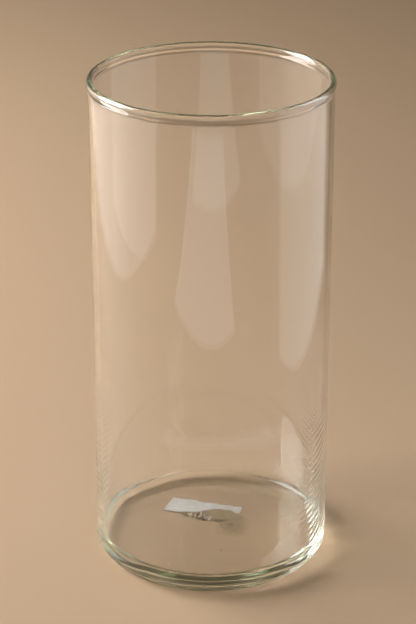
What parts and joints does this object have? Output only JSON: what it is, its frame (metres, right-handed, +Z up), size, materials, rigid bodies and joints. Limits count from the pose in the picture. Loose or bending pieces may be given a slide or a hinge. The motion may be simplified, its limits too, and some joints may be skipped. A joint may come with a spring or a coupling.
{
  "type": "glass cylinder vase",
  "caption": "Tall clear glass cylinder vase with a rounded rim, a heavy base and the torn remains of a blank label under it.",
  "frame": {"origin": "centre of the ring that the vase stands on, at the bottom of the glass", "axes": "+Z up along the axis of the cylinder, towards the mouth; -Y faces the side nearest the viewer"},
  "size_m": [0.12, 0.12, 0.2525],
  "materials": {
    "clear_glass": "clear, fire polished, with a faint green tint in its thick edges",
    "label_paper": "matt uncoated paper",
    "label_adhesive": "dull see-through adhesive with torn paper fibres"
  },
  "bodies": {
    "root": {"glass_cylinder": "clear_glass", "paper_label": "label_paper", "adhesive_film": "label_adhesive"}
  },
  "joints": []
}
